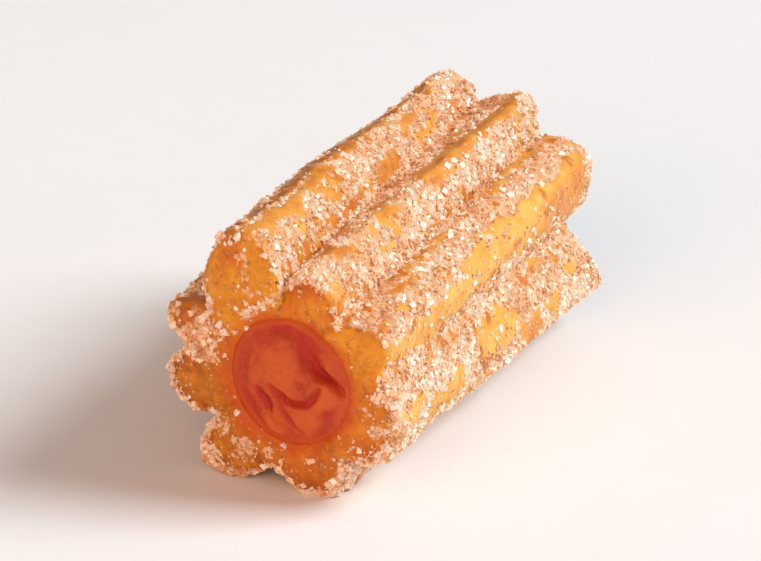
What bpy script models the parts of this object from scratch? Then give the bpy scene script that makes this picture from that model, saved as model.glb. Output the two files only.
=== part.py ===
# Filled churro: a star-piped tube of fried dough round a soft filling that runs right through it.
# Metres, +Z up. +X runs along the churro from its front cut face to its back one, and it rests
# on two of its eight lobes at Z = 0. Left and right are as seen by someone facing the front face.

import math
from typing import NamedTuple

import bmesh
import bpy
from mathutils import Vector

# Driving dimensions.
LENGTH = 0.0452  # between the cut faces, along the axis
AXIS_HEIGHT = 0.0108  # of the star's centre above the surface that it rests on
FRONT_SLANT = math.radians(4.6)  # the front cut leans back on its left side
FRONT_BOW = 6.0  # per metre, how much both sides of the front cut bend back
BACK_SLANT = math.radians(3)  # the back cut leans the other way
RIM_ROUND = 0.0009  # rounding of the crust at both cuts
FACE_CROWN = 0.0004  # how far a cut face swells between its rim and the filling
WAVE_HEIGHT = 0.00015  # unevenness of each ridge along the length
WAVES_ALONG = 1.7

FRONT_FILLING_RADIUS = 0.0058
BACK_FILLING_RADIUS = 0.0054
FRONT_FILLING_AT = (0.00175, -0.0004)  # to the right of the star's centre and above it
BACK_FILLING_AT = (0.0002, 0.0)
FILLING_GAP = 0.0003  # between the filling and the dough's bore
FILLING_RECESS = 0.0003  # of the filling's edge behind the cut face
FILLING_DOME = 0.0007  # how far the filling's middle stands out of its edge
SWIRL_HEIGHT = 0.00035  # relief of the spiral on the filling's ends
SWIRL_TURNS = 1.25

# Fineness of the mesh.
STEPS_TO_GROOVE = 7  # from a lobe's tip to the groove beside it
BODY_STATIONS = 18
RIM_STEPS = 3
FACE_RINGS = 3
FILLING_SIDES = 48
FILLING_STATIONS = 4
SWIRL_RINGS = 9


class Lobe(NamedTuple):
    """One ridge of the star. Angles run anticlockwise from the right, at the front and the back."""

    front_deg: float
    back_deg: float
    front_tip: float
    back_tip: float
    before: float  # fullness of the flank before the tip: 1 gives a straight one, 2 a round one
    after: float


class Groove(NamedTuple):
    """The groove that follows a lobe, on the way round to the next one."""

    front_deg: float
    back_deg: float
    front_floor: float
    back_floor: float


STAR = [
    (Lobe(-61.5, -64, 0.0125, 0.0123, 1.9, 1.9), Groove(-44, -47, 0.0099, 0.0099)),
    (Lobe(-26, -31.5, 0.0128, 0.0136, 1.9, 1.25), Groove(12, -13, 0.0117, 0.0075)),
    (Lobe(23.5, 27.5, 0.0129, 0.0116, 1.3, 1.7), Groove(42, 50.5, 0.0094, 0.0085)),
    (Lobe(71, 69, 0.0110, 0.0116, 1.5, 0.85), Groove(83, 95, 0.0084, 0.0089)),
    (Lobe(104.5, 107.5, 0.0135, 0.0122, 2.0, 1.8), Groove(145, 142, 0.0078, 0.0080)),
    (Lobe(162, 160, 0.0115, 0.0117, 1.6, 1.6), Groove(178, 179, 0.0084, 0.0083)),
    (Lobe(194, 197, 0.0113, 0.0117, 1.8, 1.8), Groove(222, 220, 0.0074, 0.0079)),
    (Lobe(235.5, 237, 0.0123, 0.0121, 1.9, 1.9), Groove(271, 269, 0.0088, 0.0089)),
]


def mix(front, back, along):
    return front + (back - front) * along


def wave(index, along):
    return WAVE_HEIGHT * math.sin(math.tau * (WAVES_ALONG * along + index * 0.37))


def lobe_at(index, along):
    """Angle and radius of a lobe's tip. Numbers past the last lobe go round the star again."""
    turns, index = divmod(index, len(STAR))
    lobe = STAR[index][0]
    angle = math.radians(mix(lobe.front_deg, lobe.back_deg, along)) + turns * math.tau
    return angle, mix(lobe.front_tip, lobe.back_tip, along) + wave(index, along)


def groove_at(index, along):
    """Angle and radius of the groove that follows a lobe."""
    groove = STAR[index][1]
    angle = math.radians(mix(groove.front_deg, groove.back_deg, along))
    return angle, mix(groove.front_floor, groove.back_floor, along) - wave(index, along) / 2


def star(along):
    """(angle, radius) round the dough's outline, from each lobe's tip to its groove and up again."""
    points = []
    for index in range(len(STAR)):
        floor_angle, floor_radius = groove_at(index, along)
        for near in (index, index + 1):
            tip_angle, tip = lobe_at(near, along)
            lobe = STAR[near % len(STAR)][0]
            fullness = lobe.after if near == index else lobe.before
            steps = range(STEPS_TO_GROOVE) if near == index else range(STEPS_TO_GROOVE, 0, -1)
            for step in steps:
                share = step / STEPS_TO_GROOVE
                radius = mix(tip, floor_radius, share**fullness)
                points.append((mix(tip_angle, floor_angle, share), radius))
    return points


def place(along, right, up):
    """World point at a share of the way between the two slanted cuts."""
    front = -LENGTH / 2 - right * math.tan(FRONT_SLANT) + FRONT_BOW * right * right
    back = LENGTH / 2 + right * math.tan(BACK_SLANT)
    return Vector((mix(front, back, along), -right, AXIS_HEIGHT + up))


def filling_centre(along):
    """(right, up) of the filling's middle."""
    return tuple(mix(front, back, along) for front, back in zip(FRONT_FILLING_AT, BACK_FILLING_AT))


def filling_edge(along, angle, share=1.0, gap=0.0):
    """(right, up) on the filling's edge, or on a smaller circle inside it."""
    right, up = filling_centre(along)
    radius = mix(FRONT_FILLING_RADIUS, BACK_FILLING_RADIUS, along) * share + gap
    return right + radius * math.cos(angle), up + radius * math.sin(angle)


def dough_ring(along, inset=0.0, share=0.0, push=0.0):
    """A ring of the dough: its outline, drawn in by inset, then by a share of the way to the bore."""
    ring = []
    middle_right, middle_up = filling_centre(along)
    for angle, radius in star(along):
        right, up = radius * math.cos(angle), radius * math.sin(angle)
        towards = math.atan2(up - middle_up, right - middle_right)
        outer = place(along, right, up)
        bore = place(along, *filling_edge(along, towards, gap=FILLING_GAP))
        point = outer + (bore - outer).normalized() * inset
        point = point.lerp(bore, share)
        point.x += push
        point.z = max(point.z, 0.0)
        ring.append(point)
    return ring


def face_rings(along, outwards):
    """The rings of one cut face, from its rounded rim to the bore. outwards is -1 in front."""
    rings = []
    for step in range(1, RIM_STEPS + 1):
        turn = math.pi / 2 * step / RIM_STEPS
        back = RIM_ROUND * (1 - math.sin(turn))
        rings.append(dough_ring(along, inset=RIM_ROUND * (1 - math.cos(turn)), push=-outwards * back))
    for step in range(1, FACE_RINGS + 1):
        share = step / FACE_RINGS
        crown = FACE_CROWN * math.sin(math.pi * share)
        rings.append(dough_ring(along, inset=RIM_ROUND, share=share, push=outwards * crown))
    return rings


def add_skin(mesh, rings, closed):
    """Quads between neighbouring rings, and between the last and the first if closed."""
    made = [[mesh.verts.new(point) for point in ring] for ring in rings]
    pairs = zip(made, made[1:] + made[:1]) if closed else zip(made, made[1:])
    for one, other in pairs:
        for i in range(len(one)):
            j = (i + 1) % len(one)
            mesh.faces.new((one[i], one[j], other[j], other[i]))
    return made


def finish_object(name, mesh, material):
    bmesh.ops.triangulate(mesh, faces=mesh.faces)
    bmesh.ops.recalc_face_normals(mesh, faces=mesh.faces)
    data = bpy.data.meshes.new(name)
    mesh.to_mesh(data)
    mesh.free()
    data.shade_smooth()
    data.set_sharp_from_angle(angle=math.radians(50))
    data.materials.append(material)
    made = bpy.data.objects.new(name, data)
    bpy.context.scene.collection.objects.link(made)
    return made


def make_dough(material):
    rim = RIM_ROUND / LENGTH
    body = [
        dough_ring(mix(rim, 1 - rim, step / BODY_STATIONS)) for step in range(BODY_STATIONS + 1)
    ]
    rings = body + face_rings(1.0, 1) + face_rings(0.0, -1)[::-1]
    mesh = bmesh.new()
    add_skin(mesh, rings, closed=True)
    return finish_object("dough", mesh, material)


def swirl(share, angle):
    """Relief of the filling's end: a rounded spiral ridge that fades out at the edge."""
    ridge = math.sin(angle + math.tau * SWIRL_TURNS * share)
    return FILLING_DOME * (1 - share**2) + SWIRL_HEIGHT * ridge * share * (1 - share**3) * 2


def filling_end(along, outwards):
    """The rings of one end of the filling, from its edge towards the middle, and the middle point."""
    rings = []
    for step in range(SWIRL_RINGS):
        share = 1 - step / SWIRL_RINGS
        ring = []
        for side in range(FILLING_SIDES):
            angle = math.tau * side / FILLING_SIDES
            point = place(along, *filling_edge(along, angle, share))
            point.x += outwards * (swirl(share, angle) - FILLING_RECESS)
            ring.append(point)
        rings.append(ring)
    middle = place(along, *filling_centre(along))
    middle.x += outwards * (FILLING_DOME - FILLING_RECESS)
    return rings, middle


def make_filling(material):
    front, front_middle = filling_end(0.0, -1)
    back, back_middle = filling_end(1.0, 1)
    inner = []
    for step in range(1, FILLING_STATIONS):
        along = step / FILLING_STATIONS
        angles = [math.tau * side / FILLING_SIDES for side in range(FILLING_SIDES)]
        inner.append([place(along, *filling_edge(along, angle)) for angle in angles])
    mesh = bmesh.new()
    made = add_skin(mesh, front[::-1] + inner + back, closed=False)
    for ring, middle in ((made[0], front_middle), (made[-1], back_middle)):
        centre = mesh.verts.new(middle)
        for i in range(FILLING_SIDES):
            mesh.faces.new((ring[i], ring[(i + 1) % FILLING_SIDES], centre))
    return finish_object("filling", mesh, material)


def make_material(name, colour, roughness):
    material = bpy.data.materials.new(name)
    material.use_nodes = True
    shader = material.node_tree.nodes["Principled BSDF"]
    shader.inputs["Base Color"].default_value = (*colour, 1.0)
    shader.inputs["Roughness"].default_value = roughness
    shader.inputs["Metallic"].default_value = 0.0
    return material


def centre_on_origin(parts):
    """Moves every part's mesh so that the whole stands on Z = 0 over the middle of its box."""
    points = [vertex.co for part in parts for vertex in part.data.vertices]
    middle = [(min(p[axis] for p in points) + max(p[axis] for p in points)) / 2 for axis in (0, 1)]
    for part in parts:
        for vertex in part.data.vertices:
            vertex.co -= Vector((*middle, 0.0))


def main():
    for thing in list(bpy.data.objects):
        bpy.data.objects.remove(thing, do_unlink=True)
    parts = [
        make_dough(make_material("sugared_dough", (0.72, 0.36, 0.12), 0.6)),
        make_filling(make_material("orange_filling", (0.68, 0.09, 0.015), 0.35)),
    ]
    centre_on_origin(parts)


main()
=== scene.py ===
import math

import bpy
import numpy as np
from mathutils import Matrix, Vector


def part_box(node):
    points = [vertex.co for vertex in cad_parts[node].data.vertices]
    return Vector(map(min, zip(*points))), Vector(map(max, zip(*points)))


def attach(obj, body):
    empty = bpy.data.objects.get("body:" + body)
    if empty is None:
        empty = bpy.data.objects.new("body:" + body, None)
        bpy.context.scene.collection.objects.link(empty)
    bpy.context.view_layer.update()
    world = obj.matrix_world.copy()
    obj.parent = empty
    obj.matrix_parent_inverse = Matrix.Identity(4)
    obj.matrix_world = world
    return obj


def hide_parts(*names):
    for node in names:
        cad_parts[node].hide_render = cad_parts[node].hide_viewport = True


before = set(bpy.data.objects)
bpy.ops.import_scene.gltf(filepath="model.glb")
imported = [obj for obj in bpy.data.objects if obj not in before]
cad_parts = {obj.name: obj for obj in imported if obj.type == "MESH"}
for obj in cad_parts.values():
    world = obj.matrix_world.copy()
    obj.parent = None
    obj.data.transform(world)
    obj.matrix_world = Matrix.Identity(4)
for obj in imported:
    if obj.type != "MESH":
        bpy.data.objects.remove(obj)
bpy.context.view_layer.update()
mm = 0.001
print("frame loaded:", sorted(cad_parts))


# ---- noise and meshes that every piece shares

def smoothNoise(points, size, seed):  # soft bumps about size metres apart, from -1 to 1
    side = 64
    lattice = np.random.default_rng(seed).uniform(-1, 1, (side, side, side))
    cell = points / size + 100.0
    low = np.floor(cell).astype(int)
    part = cell - low
    part = part * part * (3 - 2 * part)
    total = np.zeros(points.shape[:-1])
    for corner in np.ndindex(2, 2, 2):
        at = (low + np.array(corner)) % side
        weight = np.prod(np.where(np.array(corner), part, 1 - part), axis=-1)
        total += weight * lattice[at[..., 0], at[..., 1], at[..., 2]]
    return total


def layeredNoise(points, size, seed, layers=3):
    total = np.zeros(points.shape[:-1])
    for layer in range(layers):
        total += smoothNoise(points, size / 2**layer, seed + layer) / 2**layer
    return total


def softStep(low, high, value):  # 0 below low, 1 above high
    part = np.clip((value - low) / (high - low), 0, 1)
    return part * part * (3 - 2 * part)


def softBand(low, high, edge, value):  # 1 between low and high, fading over edge
    return softStep(low - edge, low + edge, value) * (1 - softStep(high - edge, high + edge, value))


def mix(first, second, share):
    return first + (second - first) * share


def makeMesh(name, points, faces, smooth):
    mesh = bpy.data.meshes.new(name)
    mesh.from_pydata(points.reshape(-1, 3).tolist(), [], faces.tolist())
    mesh.polygons.foreach_set("use_smooth", np.full(len(mesh.polygons), smooth))
    mesh.update()
    piece = bpy.data.objects.new(name, mesh)
    bpy.context.scene.collection.objects.link(piece)
    return piece


def paintPoints(piece, name, values):  # a number for each point, which the materials read
    layer = piece.data.attributes.new(name, "FLOAT", "POINT")
    layer.data.foreach_set("value", np.asarray(values, np.float32).ravel())


def paintFaces(piece, name, values):
    layer = piece.data.attributes.new(name, "FLOAT", "FACE")
    layer.data.foreach_set("value", np.asarray(values, np.float32).ravel())


# ---- the churro's form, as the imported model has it

churroShape = {
    "length": 45.2 * mm,  # along the middle, between the cuts
    "axisHeight": 10.8 * mm,
    "frontSlant": math.radians(4.6),
    "frontBow": 6.0,  # per metre, how much both sides of the front cut bend back
    "backSlant": math.radians(3),
    "waveHeight": 0.15 * mm,
    "wavesAlong": 1.7,
    "rimRound": 0.9 * mm,
    "boreRadius": (5.8 * mm, 5.6 * mm),  # of the dough's hole, at the front and the back
    "boreRight": (2.0 * mm, 0.2 * mm),
    "boreUp": (-0.3 * mm, 0.0),
    # Each ridge: angle at the front and back, crest at the front and back, fullness of the flank
    # before and after it, then the groove after it: angle and floor at the front and back.
    "ridges": {
        "lowRight": (-61.5, -64, 12.5, 12.3, 1.9, 1.9, -44, -47, 9.9, 9.9),
        "right": (-26, -31.5, 12.8, 13.6, 1.9, 1.25, 12, -13, 11.7, 7.5),
        "upperRight": (23.5, 27.5, 12.9, 11.6, 1.3, 1.7, 42, 50.5, 9.4, 8.5),
        "top": (71, 69, 11.0, 11.6, 1.5, 0.85, 83, 95, 8.4, 8.9),
        "upperLeft": (104.5, 107.5, 13.5, 12.2, 2.0, 1.8, 145, 142, 7.8, 8.0),
        "left": (162, 160, 11.5, 11.7, 1.6, 1.6, 178, 179, 8.4, 8.3),
        "lowLeft": (194, 197, 11.3, 11.7, 1.8, 1.8, 222, 220, 7.4, 7.9),
        "bottomLeft": (235.5, 237, 12.3, 12.1, 1.9, 1.9, 271, 269, 8.8, 8.9),
    },
}
ridgeNames = list(churroShape["ridges"])


def place(along, right, up):  # point at a share of the way between the two cuts
    shape = churroShape
    front = -shape["length"] / 2 - right * math.tan(shape["frontSlant"]) + shape["frontBow"] * right**2
    back = shape["length"] / 2 + right * math.tan(shape["backSlant"])
    along, right, up = np.broadcast_arrays(along, right, up)
    return np.stack([mix(front, back, along), -right, up + shape["axisHeight"]], -1)


def bore(along):  # right, up and radius of the dough's hole
    shape = churroShape
    return mix(*shape["boreRight"], along), mix(*shape["boreUp"], along), mix(*shape["boreRadius"], along)


def starOutline(along, steps):  # angle and radius, one row for each value of along
    shape = churroShape
    along = np.asarray(along)[:, None]
    ridges = list(shape["ridges"].values())
    angles, radii = [], []

    def wave(index):
        turns = math.tau * (shape["wavesAlong"] * along + index % len(ridges) * 0.37)
        return shape["waveHeight"] * np.sin(turns)

    for index, ridge in enumerate(ridges):
        floorAngle = np.radians(mix(ridge[6], ridge[7], along))
        floor = mix(ridge[8], ridge[9], along) * mm - wave(index) / 2
        for near in (index, index + 1):
            turn = math.tau * (near // len(ridges))
            crest = ridges[near % len(ridges)]
            crestAngle = np.radians(mix(crest[0], crest[1], along)) + turn
            crestRadius = mix(crest[2], crest[3], along) * mm + wave(near)
            after = near == index
            share = np.arange(steps) / steps if after else np.arange(steps, 0, -1) / steps
            angles.append(mix(crestAngle, floorAngle, share))
            radii.append(mix(crestRadius, floor, share ** crest[5 if after else 4]))
    return np.concatenate(angles, 1), np.concatenate(radii, 1)


# ---- the dough's skin: one closed grid, round the star and along it, over both cuts and the bore

doughMake = {
    "stepsToGroove": 24,
    "rowsAlong": 192,
    "rimRows": 6,
    "faceRows": 22,
    "grooveSoftness": 2,  # columns over which a groove's floor is rounded
    "faceCrown": 0.45 * mm,
    "swell": 0.24 * mm,  # slow unevenness
    "pitting": 0.13 * mm,  # fried blisters and pits
    "sugarBed": 0.17 * mm,  # relief of the clumped sugar
    "sugarHeaps": 0.24 * mm,
    "faceSeams": 0.45 * mm,  # where the strands of dough meet on a cut
    "facePores": 0.14 * mm,
}
boreRow = doughMake["rowsAlong"] + doughMake["rimRows"] + doughMake["faceRows"] - 1


def roundedColumns(radius, softness):
    for _ in range(softness):
        radius = (np.roll(radius, 1, 1) + 2 * radius + np.roll(radius, -1, 1)) / 4
    return radius


def doughRows():  # per row: along, inset from the rim, share of the way to the bore, push, outwards
    make, shape = doughMake, churroShape
    rim = shape["rimRound"] / shape["length"]
    rows = [(mix(rim, 1 - rim, t), 0, 0, 0, 0) for t in np.linspace(0, 1, make["rowsAlong"])]
    caps = {}
    for along, outwards in ((1.0, 1), (0.0, -1)):
        cap = []
        for step in range(1, make["rimRows"] + 1):
            turn = math.pi / 2 * step / make["rimRows"]
            inset = shape["rimRound"] * (1 - math.cos(turn))
            back = shape["rimRound"] * (1 - math.sin(turn))
            cap.append((along, inset, 0, -outwards * back, outwards))
        for step in range(1, make["faceRows"] + 1):
            share = step / make["faceRows"]
            crown = make["faceCrown"] * math.sin(math.pi * share)
            cap.append((along, shape["rimRound"], share, outwards * crown, outwards))
        caps[outwards] = cap
    return np.array(rows + caps[1] + caps[-1][::-1], float)


def doughGrid():
    make, shape = doughMake, churroShape
    rows = doughRows()
    along, inset, share, push = (rows[:, i, None] for i in range(4))
    angle, radius = starOutline(rows[:, 0], make["stepsToGroove"])
    radius = roundedColumns(radius, make["grooveSoftness"])
    right, up = radius * np.cos(angle), radius * np.sin(angle)
    boreRight, boreUp, boreRadius = bore(along)
    towards = np.arctan2(up - boreUp, right - boreRight)
    outer = place(along, right, up)
    inner = place(along, boreRight + boreRadius * np.cos(towards), boreUp + boreRadius * np.sin(towards))
    inwards = inner - outer
    inwards /= np.linalg.norm(inwards, axis=-1, keepdims=True)
    points = outer + inwards * inset[..., None]
    points = points + (inner - points) * share[..., None]
    points[..., 0] += push
    return rows, angle, points


def gridNormals(points):
    around = np.roll(points, -1, 1) - np.roll(points, 1, 1)
    along = np.roll(points, -1, 0) - np.roll(points, 1, 0)
    normals = np.cross(around, along)
    normals /= np.maximum(np.linalg.norm(normals, axis=-1, keepdims=True), 1e-12)
    return normals


# Bare places of the coat. Each: ridge, from and to across it (-1 is the groove before it, 0 its
# crest, 1 the groove after it) at the front and then at the back, from and to along, how bare,
# how golden, how fried.
barePatches = [
    ("upperRight", -0.90, -0.05, -0.60, -0.05, -0.10, 0.36, 0.84, 0.80, 0.02),
    ("upperRight", -0.55, -0.02, -0.42, 0.00, 0.26, 0.80, 1.00, 0.95, 0.00),
    ("upperRight", -1.00, -0.30, -1.00, -0.30, 0.28, 0.98, 0.32, 0.80, 0.00),
    ("upperRight", -0.55, 0.12, -0.65, 0.24, 0.76, 0.96, 1.15, 0.18, 0.12),
    ("upperRight", 0.02, 0.22, 0.02, 0.24, 0.36, 0.93, 0.62, 0.90, 0.04),
    ("upperRight", 0.15, 0.38, 0.15, 0.38, 0.45, 0.60, 0.62, 0.95, 0.00),
    ("upperRight", 0.72, 1.00, 0.72, 1.00, 0.22, 0.50, 0.46, 0.60, 0.08),
    ("upperRight", 0.72, 0.96, 0.72, 0.96, 0.66, 0.94, 0.50, 0.70, 0.06),
    ("upperRight", 0.55, 0.82, 0.58, 0.84, 0.13, 0.22, 0.85, 0.15, 0.30),
    ("top", -0.22, 0.34, -0.24, 0.34, 0.52, 0.63, 1.15, 0.30, 0.14),
    ("top", -0.24, 0.30, -0.24, 0.30, 0.64, 0.74, 1.15, 0.30, 0.12),
    ("top", -0.14, 0.28, -0.06, 0.20, 0.75, 0.97, 1.05, 0.15, 0.28),
    ("top", -0.15, 0.42, -0.15, 0.42, 0.09, 0.17, 1.00, 0.10, 0.38),
    ("top", -0.22, 0.06, -0.22, 0.06, 0.29, 0.38, 0.78, 0.25, 0.15),
    ("top", 0.10, 0.60, 0.10, 0.60, 0.36, 0.42, 1.00, 0.10, 0.55),
    ("top", 0.55, 0.90, 0.55, 0.90, 0.24, 0.32, 0.90, 0.10, 0.45),
    ("top", -1.00, -0.40, -1.00, -0.40, -0.10, 0.07, 0.44, 0.60, 0.08),
    ("upperLeft", -0.46, -0.16, -0.46, -0.16, -0.10, 0.23, 0.84, 0.40, 0.15),
    ("upperLeft", -0.75, -0.45, -0.75, -0.45, 0.06, 0.20, 0.36, 0.60, 0.05),
    ("upperLeft", -0.74, -0.36, -0.74, -0.36, 0.26, 0.37, 0.68, 0.45, 0.12),
    ("upperLeft", -0.36, -0.10, -0.36, -0.10, 0.26, 0.42, 0.86, 0.20, 0.36),
    ("upperLeft", -0.20, 0.00, -0.20, 0.00, 0.42, 0.66, 0.80, 0.15, 0.50),
    ("upperLeft", -0.45, -0.20, -0.45, -0.20, 0.72, 0.80, 0.70, 0.30, 0.25),
    ("upperLeft", -0.35, -0.12, -0.35, -0.12, 0.83, 0.88, 0.66, 0.20, 0.45),
    ("upperLeft", -0.65, -0.20, -0.65, -0.20, 0.67, 0.74, 0.56, 0.60, 0.08),
    ("upperLeft", -0.92, -0.62, -0.92, -0.62, 0.73, 0.82, 0.56, 0.60, 0.08),
    ("upperLeft", -0.92, -0.70, -0.92, -0.70, 0.52, 0.61, 1.00, 0.10, 0.35),
    ("upperLeft", -0.98, -0.82, -0.98, -0.82, 0.08, 0.32, 0.80, 0.15, 0.40),
    ("upperLeft", -1.00, -0.88, -1.00, -0.88, 0.38, 0.46, 0.90, 0.15, 0.40),
    ("upperLeft", -0.05, 0.16, 0.02, 0.20, -0.10, 0.92, 0.80, 0.15, 0.95),
    ("upperLeft", 0.30, 0.90, 0.30, 0.90, 0.10, 0.90, 0.32, 0.35, 0.35),
    ("right", 0.20, 0.50, 0.20, 0.50, 0.03, 0.14, 0.80, 0.95, 0.00),
    ("right", 0.08, 0.42, 0.08, 0.42, 0.18, 0.35, 0.76, 0.85, 0.03),
    ("right", 0.25, 0.75, 0.25, 0.72, 0.42, 0.59, 0.78, 0.85, 0.02),
    ("right", -0.30, 0.34, -0.30, 0.32, 0.60, 0.71, 1.15, 0.15, 0.16),
    ("right", 0.15, 0.45, 0.15, 0.45, 0.72, 0.84, 0.60, 0.75, 0.03),
    ("right", 0.50, 0.72, 0.50, 0.72, 0.87, 0.95, 0.52, 0.75, 0.05),
    ("right", -1.00, -0.68, -1.00, -0.68, -0.10, 0.11, 0.95, 0.05, 0.45),
    ("right", -1.00, -0.68, -1.00, -0.68, 0.22, 0.36, 0.80, 0.85, 0.03),
    ("right", -0.95, -0.35, -0.95, -0.35, 0.32, 0.52, 0.85, 0.65, 0.08),
    ("right", -1.00, -0.42, -1.00, -0.42, 0.54, 0.80, 0.82, 0.75, 0.03),
    ("right", -0.88, -0.46, -0.88, -0.46, 0.73, 0.84, 1.15, 0.15, 0.14),
    ("right", -0.45, 0.02, -0.45, 0.02, 0.10, 0.58, 0.45, 0.50, 0.20),
    ("left", -0.80, 0.40, -0.80, 0.40, -0.10, 1.10, 0.33, 0.30, 0.45),
    ("lowLeft", -0.90, 0.30, -0.90, 0.30, 0.05, 0.95, 0.35, 0.50, 0.35),
    ("bottomLeft", -0.95, 0.10, -0.95, 0.10, 0.00, 1.00, 0.36, 0.35, 0.40),
    ("lowRight", -0.60, 0.60, -0.60, 0.60, 0.15, 1.00, 0.34, 0.40, 0.40),
]
# On the cuts, per ridge: how much loose sugar, how golden, how fried. On lowRight, lowLeft and bottomLeft the low
# golden and high fried shares are partly real frying and partly painted shade on the lower lobes.
cutLooks = {
    "lowRight": (0.22, 0.10, 0.60),
    "right": (0.16, 0.25, 0.20),
    "upperRight": (0.05, 0.60, 0.00),
    "top": (0.07, 0.12, 0.06),
    "upperLeft": (0.10, 0.85, 0.00),
    "left": (0.60, 0.15, 0.80),
    "lowLeft": (0.06, 0.55, 0.95),
    "bottomLeft": (0.34, 0.40, 0.95),
}
# Spots on the front cut: right and up of the middle and reach in mm, sugar, golden, fried.
cutSpots = [
    (-5.6, 8.6, 2.4, 0.02, None, None),
    (9.0, 3.0, 3.0, 0.01, None, None),
    (-2.7, 10.6, 0.6, 0.70, None, None),
    (-2.5, 9.2, 0.7, 0.70, None, None),
    (-2.2, 7.6, 0.5, 0.45, None, None),
    (-7.4, 1.6, 1.9, 1.00, None, None),
    (-9.2, 4.4, 2.0, 0.06, None, None),
    (11.0, -0.3, 0.9, 0.95, None, None),
    (10.4, -3.5, 0.7, 0.75, None, None),
    (-2.5, -7.6, 0.8, 0.80, None, None),
    (-6.0, -8.9, 0.7, 0.70, None, None),
    (0.1, -7.3, 0.6, 0.60, None, None),
    (7.3, -8.8, 1.2, 0.95, None, None),
    (-3.7, 10.5, 1.7, None, 0.10, 0.12),
    (-0.5, 8.6, 1.5, None, 1.00, 0.00),
    (-3.1, 4.9, 1.7, None, 0.75, 0.12),
    (3.3, 9.4, 1.6, None, 0.00, 0.16),
    (4.9, 7.1, 1.5, None, 0.45, 0.00),
    (9.9, 3.1, 1.8, None, 0.65, 0.00),
    (9.9, -5.6, 1.5, None, 0.00, 0.35),
    (3.8, -9.6, 1.0, None, 0.00, 0.75),
    (4.9, -10.8, 0.9, None, 0.00, 0.70),
    (-0.6, -8.7, 1.1, None, 0.00, 0.85),
    (-6.5, -7.8, 1.2, None, 0.00, 0.75),
    (-3.7, -7.0, 1.9, None, 0.60, 0.50),
    (-8.4, -0.2, 1.4, None, 0.10, 0.80),
    (-8.8, 4.6, 1.8, None, 0.05, 0.75),
]
sugarLine = ((2.3, 9.6), (0.9, 8.0), (-1.3, 5.8), (-2.8, 4.9))  # caught in the seam between two strands


def acrossRidges(steps):  # per column: its ridge, and where it is across it, from -1 to 1
    ridge, across = [], []
    for index in range(len(ridgeNames)):
        ridge += [index] * steps + [(index + 1) % len(ridgeNames)] * steps
        across += [count / steps for count in range(steps)]
        across += [-count / steps for count in range(steps, 0, -1)]
    return np.array(ridge), np.array(across)


def distanceTo(line, right, up):  # in mm, from a bent line of points
    best = np.full(right.shape, 1e9)
    for (aRight, aUp), (bRight, bUp) in zip(line, line[1:]):
        run = np.array([bRight - aRight, bUp - aUp])
        share = ((right - aRight) * run[0] + (up - aUp) * run[1]) / (run @ run)
        share = np.clip(share, 0, 1)
        best = np.minimum(best, np.hypot(right - aRight - share * run[0], up - aUp - share * run[1]))
    return best


def coatMasks(points, along, ridge, across, heap):  # outside of the churro
    thin = softStep(0.05, 0.75, layeredNoise(points, 2.6 * mm, 29))  # scattered thin places
    bare = 0.32 * thin
    golden = np.full(points.shape[:2], 0.70)
    fried = np.full(points.shape[:2], 0.04)
    wobble = layeredNoise(points, 2.4 * mm, 11) * 0.13
    for name, low0, high0, low1, high1, start, stop, strength, gold, burn in barePatches:
        mine = (ridge == ridgeNames.index(name))[None, :]
        low, high = mix(low0, low1, along), mix(high0, high1, along)
        patch = softBand(low, high, 0.13, across[None, :] + wobble) * mine
        patch = patch * softBand(start, stop, 0.035, along + wobble * 0.2)
        bare = np.maximum(bare, patch * strength)
        golden, fried = mix(golden, gold, patch), mix(fried, burn, patch)
    groove = softStep(0.55, 0.95, np.abs(across))[None, :]
    rust = softStep(0.34, 0.60, layeredNoise(points, 1.2 * mm, 47) - 0.25 + 0.30 * groove)
    bare = np.maximum(bare, rust * 0.95)
    golden, fried = mix(golden, 0.10, rust), mix(fried, 0.50, rust)
    ragged = 0.24 * layeredNoise(points, 1.3 * mm, 17, 4) + 0.22 * heap
    ragged = ragged + 0.20 * layeredNoise(points, 0.55 * mm, 19, 2)
    return softStep(-0.14, 0.14, 0.5 - 1.3 * bare + np.clip(ragged, -0.5, 0.64)), golden, fried


def cutMasks(points, rows, ridge):  # both cuts
    right, up = -points[..., 1] / mm, (points[..., 2] - churroShape["axisHeight"]) / mm
    weights = {}
    for index, name in enumerate(ridgeNames):
        weight = np.where(ridge == index, 1.0, 0.0)
        for _ in range(12):
            weight = (np.roll(weight, 1) + weight + np.roll(weight, -1)) / 3
        weights[name] = weight
    # Per ridge on the cuts; on the lower ridges the golden and fried shares also carry painted shade.
    sugar, golden, fried = (sum(weights[name] * looks[i] for name, looks in cutLooks.items()) for i in range(3))
    sugar, golden, fried = (value + np.zeros(points.shape[:2]) for value in (sugar, golden, fried))
    share = rows[:, 2, None]
    edge = 1 - softStep(0.0, 0.30, share)
    clusters = softStep(-0.1, 0.5, layeredNoise(points, 2.5 * mm, 41))
    rim = 1 - softStep(0.0, 0.13, share + 0.05 * layeredNoise(points, 1.3 * mm, 45))
    loose = sugar * (0.30 + 0.70 * clusters) * (1 - softStep(0.6, 0.95, share)) + (0.8 * sugar + 0.16) * rim
    fried = fried * (0.60 + 0.40 * edge) + 0.55 * (1 - softStep(0.0, 0.09, share))
    front = (rows[:, 4] < 0)[:, None]
    jitter = layeredNoise(points, 1.2 * mm, 43) * 0.5
    for spotRight, spotUp, reach, sweet, gold, burn in cutSpots:
        gap = np.hypot(right - spotRight, up - spotUp) / reach + jitter
        spot = (1 - softStep(0.5, 1.25, gap)) * front
        if sweet is not None:
            loose = mix(loose, sweet, spot)
        else:
            golden, fried = mix(golden, gold, spot), mix(fried, burn, spot)
    line = (1 - softStep(0.10, 0.50, distanceTo(sugarLine, right, up) + jitter * 0.4)) * front
    return np.clip(np.maximum(loose, 0.65 * line), 0, 1), golden, fried


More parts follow.
